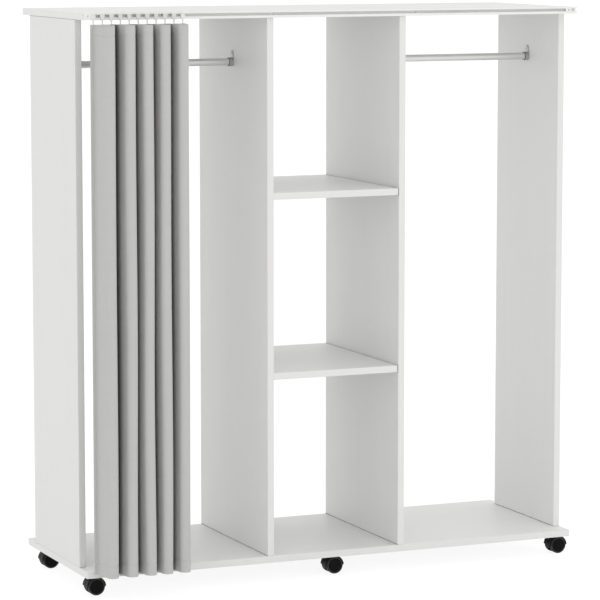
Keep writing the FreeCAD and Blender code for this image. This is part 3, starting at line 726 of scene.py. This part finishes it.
def cloth_middle(s, z):
    """Point at distance s along the cloth and height z.

    The plan of the folds is carried straight down, with each crest a little off its even place. Down the
    drop it sways sideways by a sine that grows with the square root of the fall and dies out at both edges.
    It also gets shallower, by one sine from fold to fold and another that grows with the fall.
    """
    distance, count, x, y, _ = PLAN
    t = np.interp(s, distance, count)
    fall = (CLOTH_HIGH.z - z) / CLOTH_DROP
    loose = np.sin(np.pi * np.clip(t / FOLDS, 0.0, 1.0))
    crests = np.concatenate([[0.0], np.arange(FOLDS) + 0.5, [FOLDS]])
    shift = np.interp(t, crests, [EDGE_SHIFT[0], *CREST_SHIFT, EDGE_SHIFT[1]])
    sway = SWAY * np.sin(8.5 * fall + 2.1 * t) * np.sqrt(fall) * loose
    by_fold = UNEVEN_DEPTH * (1.0 + np.sin(2.4 * t + 0.8)) / 2.0
    by_drop = LOST_DEPTH * fall * (1.0 + np.sin(5.0 * fall + 1.9 * t)) / 2.0
    shallow = 1.0 - by_fold - by_drop
    y_valley = CLOTH_HIGH.y - CLOTH / 2.0
    depth = (y_valley - np.interp(s, distance, y)) * shallow
    return np.stack([np.interp(s, distance, x) + shift + sway, y_valley - depth, z + 0.0 * s], axis=-1)


def cloth_frame(s, z):
    """Point, direction along the cloth and direction out of its front, from a small step either way."""
    step = 0.0006
    point = cloth_middle(s, z)
    along = cloth_middle(s + step, z) - cloth_middle(s - step, z)
    along = along / np.linalg.norm(along, axis=-1, keepdims=True)
    out = np.stack([along[..., 1], -along[..., 0], np.zeros_like(along[..., 0])], axis=-1)
    return point, along, out


def hem_back(s, z):
    """Extra thickness behind the turned-up hem and the side hems, below the heading tape."""
    rise = z - CLOTH_LOW.z
    foot = np.clip((HEM - rise) / HEM_EDGE, 0.0, 1.0)
    from_side = np.minimum(s, CLOTH_WIDTH - s)
    below_tape = np.clip((TAPE_LOW.z - z) / (2.0 * HEM_EDGE) - 1.0, 0.0, 1.0)
    side = np.clip((SIDE_HEM - from_side) / HEM_EDGE, 0.0, 1.0) * below_tape
    return HEM_FOLD * np.maximum(foot, side)


def pucker(s, z):
    """Shallow furrow along each line of stitches."""
    from_side = np.minimum(s, CLOTH_WIDTH - s)
    lines = [z - HEM_LINE, from_side - SIDE_LINE] + [z - line for line in HEADING_LINES]
    return PUCKER * sum(np.exp(-(gap / PUCKER_WIDTH) ** 2) for gap in lines)


def painted_fold_openness(s):
    """How open the cloth lies, as the mask of the painted fold shade, for the front and then the back.

    On the front it rises with a cosine from the shaded valley of each fold to its crest. The outer flanks of
    the first and last fold lie open, and so does the whole back, whose pockets are wide.
    """
    t = np.interp(s, PLAN[0], PLAN[1])
    swing = np.cos(2.0 * np.pi * t)
    front = np.interp((1.0 - swing) / 2.0, SHADE_RISE, [0.0, 1.0])
    front = np.where((t < 0.5) | (t > FOLDS - 0.5), 1.0, front)
    return np.stack([front, np.ones_like(front)])


def spread(stops, steps):
    """Values from stop to stop, with the given number of steps between each pair."""
    spans = zip(stops, stops[1:], steps)
    runs = [np.linspace(low, high, count, endpoint=False) for low, high, count in spans]
    return np.concatenate(runs + [np.array(stops[-1:])])


def curtain_sheet():
    """The cloth as a closed sheet: its middle surface moved out to front and back, thicker at the hems."""
    across = spread(PLAN[4].tolist(), (END_STEPS, *FOLD_STEPS * FOLDS, END_STEPS))
    hem_band = [HEM_LINE - FINE_REACH, CLOTH_LOW.z + HEM + FINE_REACH]
    heights = [CLOTH_LOW.z, *hem_band, TAPE_LOW.z - FINE_REACH, CLOTH_HIGH.z]
    up = spread(heights, HEIGHT_STEPS)
    s, z = np.meshgrid(across, up)
    point, _, out = cloth_frame(s, z)
    drawn = pucker(s, z)
    front = point + out * (CLOTH / 2.0 - drawn)[..., None]
    back = point - out * (CLOTH / 2.0 + hem_back(s, z) - drawn)[..., None]
    uv = np.stack([s, z], axis=-1)
    points, faces = shell(front, back)
    uv = np.concatenate([uv, uv])
    piece = new_piece("grey_curtain", points, faces, FINISH["grey_cloth"], uv, CREASE)
    for name, values in ((OPENNESS, painted_fold_openness(s)), (HUNG_AT, points[:, 0])):
        layer = piece.data.attributes.new(name, "FLOAT", "POINT")
        layer.data.foreach_set("value", values.astype(np.float32).ravel())
    return piece


def stitch_rows():
    """Centres along each stitch line, with the way the thread runs: the hem, both sides and the heading."""
    across = np.arange(STITCH_STEP, CLOTH_WIDTH - STITCH_STEP, STITCH_STEP)
    up = np.arange(CLOTH_LOW.z + HEM + STITCH_STEP, TAPE_LOW.z - STITCH_STEP, STITCH_STEP)
    level = [(across, np.full_like(across, height)) for height in (HEM_LINE, *HEADING_LINES)]
    upright = [(np.full_like(up, side), up) for side in (SIDE_LINE, CLOTH_WIDTH - SIDE_LINE)]
    return level, upright


def curtain_stitches():
    """Thread stitches that lie in the furrows on the front of the cloth, and on the back of the hems."""
    level, upright = stitch_rows()
    rise = np.array([0.0, 0.0, 1.0])
    centres, ways, outs = [], [], []
    for rows, runs_up in ((level, False), (upright, True)):
        for s, z in rows:
            point, along, out = cloth_frame(s, z)
            way = np.broadcast_to(rise, along.shape) if runs_up else along
            furrow = CLOTH / 2.0 - pucker(s, z)
            centres.append(point + out * (furrow + STITCH_RISE)[:, None])
            ways.append(way)
            outs.append(out)
            if np.all(z < TAPE_LOW.z):
                behind = furrow + hem_back(s, z) + STITCH_RISE
                centres.append(point - out * behind[:, None])
                ways.append(way)
                outs.append(-out)
    rows = [np.concatenate(part) for part in (centres, ways, outs)]
    points, faces = spindles(*rows, STITCH_LENGTH, STITCH_RADIUS)
    return new_piece("curtain_stitches", points, faces, FINISH["grey_thread"])


def heading_tape():
    """Gathering tape: a thin strip with two drawstrings and a row of woven pockets standing out behind.

    The drawstrings are bell curves across the tape, and the pockets the upper halves of a sine along it.
    """
    across = np.linspace(TAPE_LOW.x, TAPE_HIGH.x, TAPE_STEPS[0])
    up = np.linspace(TAPE_LOW.z, TAPE_HIGH.z, TAPE_STEPS[1])
    x, z = np.meshgrid(across, up)
    height = TAPE_HIGH.z - TAPE_LOW.z
    share = (z - TAPE_LOW.z) / height
    y_front = TAPE_LOW.y + PEG_PROUD
    rib = TAPE_HIGH.y - y_front - TAPE_BODY
    cords = sum(np.exp(-((share - row) * height / CORD_RADIUS) ** 2) for row in CORD_ROWS)
    wave = np.clip(np.sin(2.0 * np.pi * (x - X_FIRST) / POCKET_STEP), 0.0, 1.0) ** 0.5
    band = np.clip((POCKET_BAND - np.abs(share - 0.5)) / POCKET_EDGE, 0.0, 1.0)
    raised = np.clip(np.maximum(cords, POCKET_RISE * wave * band), 0.0, 1.0)
    front = np.stack([x, np.full_like(x, y_front), z], axis=-1)
    back = np.stack([x, y_front + TAPE_BODY + rib * raised, z], axis=-1)
    uv = np.stack([x, z], axis=-1)
    uv = np.concatenate([uv, uv])
    points, faces = shell(front, back)
    return new_piece("gathering_tape", points, faces, FINISH["tape_cloth"], uv, CREASE)


def tape_rings():
    """Small rings round the pegs of the gliders, on the back of the tape: a circle carried round a circle."""
    turn = np.linspace(0.0, 2.0 * np.pi, RING_STEPS[0], endpoint=False)[:, None]
    wire = np.linspace(0.0, 2.0 * np.pi, RING_STEPS[1], endpoint=False)[None, :]
    radius = RING_RADIUS + RING_WIRE * np.cos(wire)
    depth = RING_WIRE * np.sin(wire) + 0.0 * turn
    ring = np.stack([radius * np.cos(turn), depth, radius * np.sin(turn)], axis=-1)
    y_back = TAPE_LOW.y + PEG_PROUD + TAPE_BODY
    z_peg = TAPE_HIGH.z - PEG_DROP
    centres = np.array([(middle(name).x, y_back, z_peg) for name in GLIDER_NAMES])
    points = centres[:, None, None, :] + ring[None]
    rows, columns = ring.shape[:2]
    index = np.arange(rows * columns).reshape(rows, columns)
    round_wire = np.roll(index, -1, axis=1)
    onward = np.roll(index, -1, axis=0)
    both = np.roll(onward, -1, axis=1)
    quads = np.stack([index, round_wire, both, onward], axis=-1).reshape(-1, 4)
    start = (np.arange(len(centres)) * rows * columns)[:, None, None]
    faces = (quads[None] + start).reshape(-1, 4)
    return new_piece("tape_rings", points, [faces], FINISH["white_plastic"])


def hang_curtain():
    """Cloth, stitches, tape and rings, which hang between the first glider and the last."""
    curtain = curtain_sheet()
    stitches = curtain_stitches()
    tape = heading_tape()
    rings = tape_rings()
    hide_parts("curtain")
    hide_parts("heading_tape")
    for piece in (curtain, stitches, tape, rings):
        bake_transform(piece)


# Studio

def seen_white(tree):
    """1 for rays that should see the plain background: from the camera, off gloss or through glass."""
    path = tree.nodes.new("ShaderNodeLightPath")
    seen = calc(tree, "MAXIMUM", path.outputs["Is Camera Ray"], path.outputs["Is Glossy Ray"])
    return calc(tree, "MAXIMUM", seen, path.outputs["Is Transmission Ray"])


def studio_world():
    """Even white light, and plain white where the background itself is seen."""
    world = bpy.data.worlds.new("studio")
    bpy.context.scene.world = world
    world.use_nodes = True
    tree = world.node_tree
    back = tree.nodes["Background"]
    number(back.inputs["Color"], (1.0, 1.0, 1.0, 1.0))
    tree.links.new(remap(tree, seen_white(tree), 0.0, 1.0, WORLD_LIGHT, 1.0), back.inputs["Strength"])


def studio_floor():
    """Pale floor that the camera sees as white with a soft shadow."""
    material = bpy.data.materials.new("studio_floor")
    material.use_nodes = True
    tree = material.node_tree
    tree.nodes.clear()
    output = tree.nodes.new("ShaderNodeOutputMaterial")
    matt = tree.nodes.new("ShaderNodeBsdfDiffuse")
    number(matt.inputs["Color"], FLOOR_COLOUR)
    white = tree.nodes.new("ShaderNodeEmission")
    mix = tree.nodes.new("ShaderNodeMixShader")
    tree.links.new(remap(tree, seen_white(tree), 0.0, 1.0, 0.0, FLOOR_WHITE), mix.inputs["Fac"])
    tree.links.new(matt.outputs["BSDF"], mix.inputs[1])
    tree.links.new(white.outputs["Emission"], mix.inputs[2])
    number(white.inputs["Strength"], FLOOR_GLOW)
    tree.links.new(mix.outputs["Shader"], output.inputs["Surface"])
    mesh = bpy.data.meshes.new("studio_floor")
    corners = [(FLOOR_REACH * x, FLOOR_REACH * y, 0.0) for x, y in ((-1, -1), (1, -1), (1, 1), (-1, 1))]
    mesh.from_pydata(corners, [], [(0, 1, 2, 3)])
    mesh.materials.append(material)
    floor = bpy.data.objects.new("studio_floor", mesh)
    bpy.context.scene.collection.objects.link(floor)


def key_lamp():
    """Large soft lamp in front of the wardrobe."""
    data = bpy.data.lights.new("key", "AREA")
    data.shape = "SQUARE"
    data.size = KEY_SIZE
    data.energy = KEY_POWER
    lamp = bpy.data.objects.new("key", data)
    lamp.location = KEY_PLACE
    lamp.rotation_euler = (Vector(KEY_AIM) - Vector(KEY_PLACE)).to_track_quat("-Z", "Y").to_euler()
    bpy.context.scene.collection.objects.link(lamp)


def photo_camera():
    """Camera at the photograph's viewing angle."""
    data = bpy.data.cameras.new("photo_camera")
    data.sensor_width = SENSOR
    data.lens = CAMERA_LENS
    data.clip_end = 200.0
    camera = bpy.data.objects.new("photo_camera", data)
    camera.location = CAMERA_PLACE
    camera.rotation_euler = (math.pi / 2.0 - CAMERA_DIP, 0.0, -CAMERA_TURN)
    bpy.context.scene.collection.objects.link(camera)
    bpy.context.scene.camera = camera


dress_frame()
hang_curtain()
studio_world()
studio_floor()
key_lamp()
photo_camera()
bpy.context.scene.view_settings.view_transform = "Standard"
